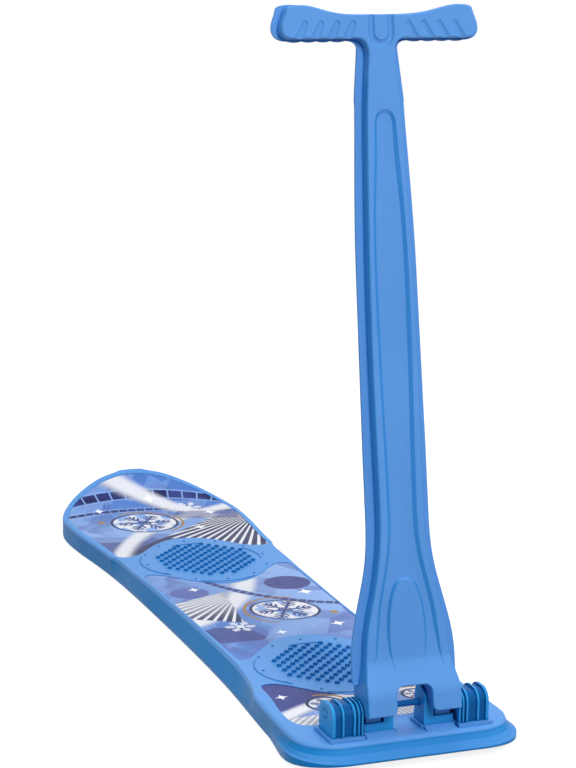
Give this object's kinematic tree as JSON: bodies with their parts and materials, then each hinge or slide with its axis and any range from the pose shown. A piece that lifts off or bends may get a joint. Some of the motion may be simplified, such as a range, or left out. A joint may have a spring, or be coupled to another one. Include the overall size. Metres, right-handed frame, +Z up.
{
  "type": "snow scooter",
  "caption": "Long hollow plastic snow board with a kicked-up tail and grip studs, steered by a T handle that folds back on an axle near the flared nose.",
  "frame": {"origin": "on the ground under the middle of the board, half-way along its length", "axes": "+X to the rider's right when the nose points along -Y, +Y towards the kicked-up tail, +Z up"},
  "size_m": [0.261, 1.016, 0.7727],
  "materials": {
    "blue_board": "satin moulded polyethylene, light blue",
    "blue_sole": "smooth moulded polyethylene, blue",
    "printed_film": "gloss printed film in blues and white",
    "dark_blue_hinge": "satin moulded plastic, dark blue",
    "dark_blue_axle": "smooth plastic, dark blue",
    "black_washer": "black nylon",
    "blue_handle": "satin moulded polyethylene, light blue",
    "steel_screw": "zinc-plated steel"
  },
  "bodies": {
    "board": {"deck_shell": "blue_board", "sole_plate": "blue_sole", "rear_label": "printed_film", "middle_label": "printed_film", "front_label": "printed_film", "left_outer_bracket": "dark_blue_hinge", "right_outer_bracket": "dark_blue_hinge", "left_inner_cradle": "dark_blue_hinge", "right_inner_cradle": "dark_blue_hinge", "axle_rod": "dark_blue_axle", "left_axle_cap": "dark_blue_axle", "right_axle_cap": "dark_blue_axle", "left_friction_washer": "black_washer", "right_friction_washer": "black_washer", "sole_screws": "steel_screw", "hinge_screws": "steel_screw"},
    "handle": {"handle_moulding": "blue_handle"}
  },
  "joints": [
    {"name": "handle_fold", "type": "hinge", "parent": "board", "child": "handle", "pos_m": [0, -0.459, 0.0532], "axis": [-1, 0, 0], "range_deg": [0, 80]}
  ]
}
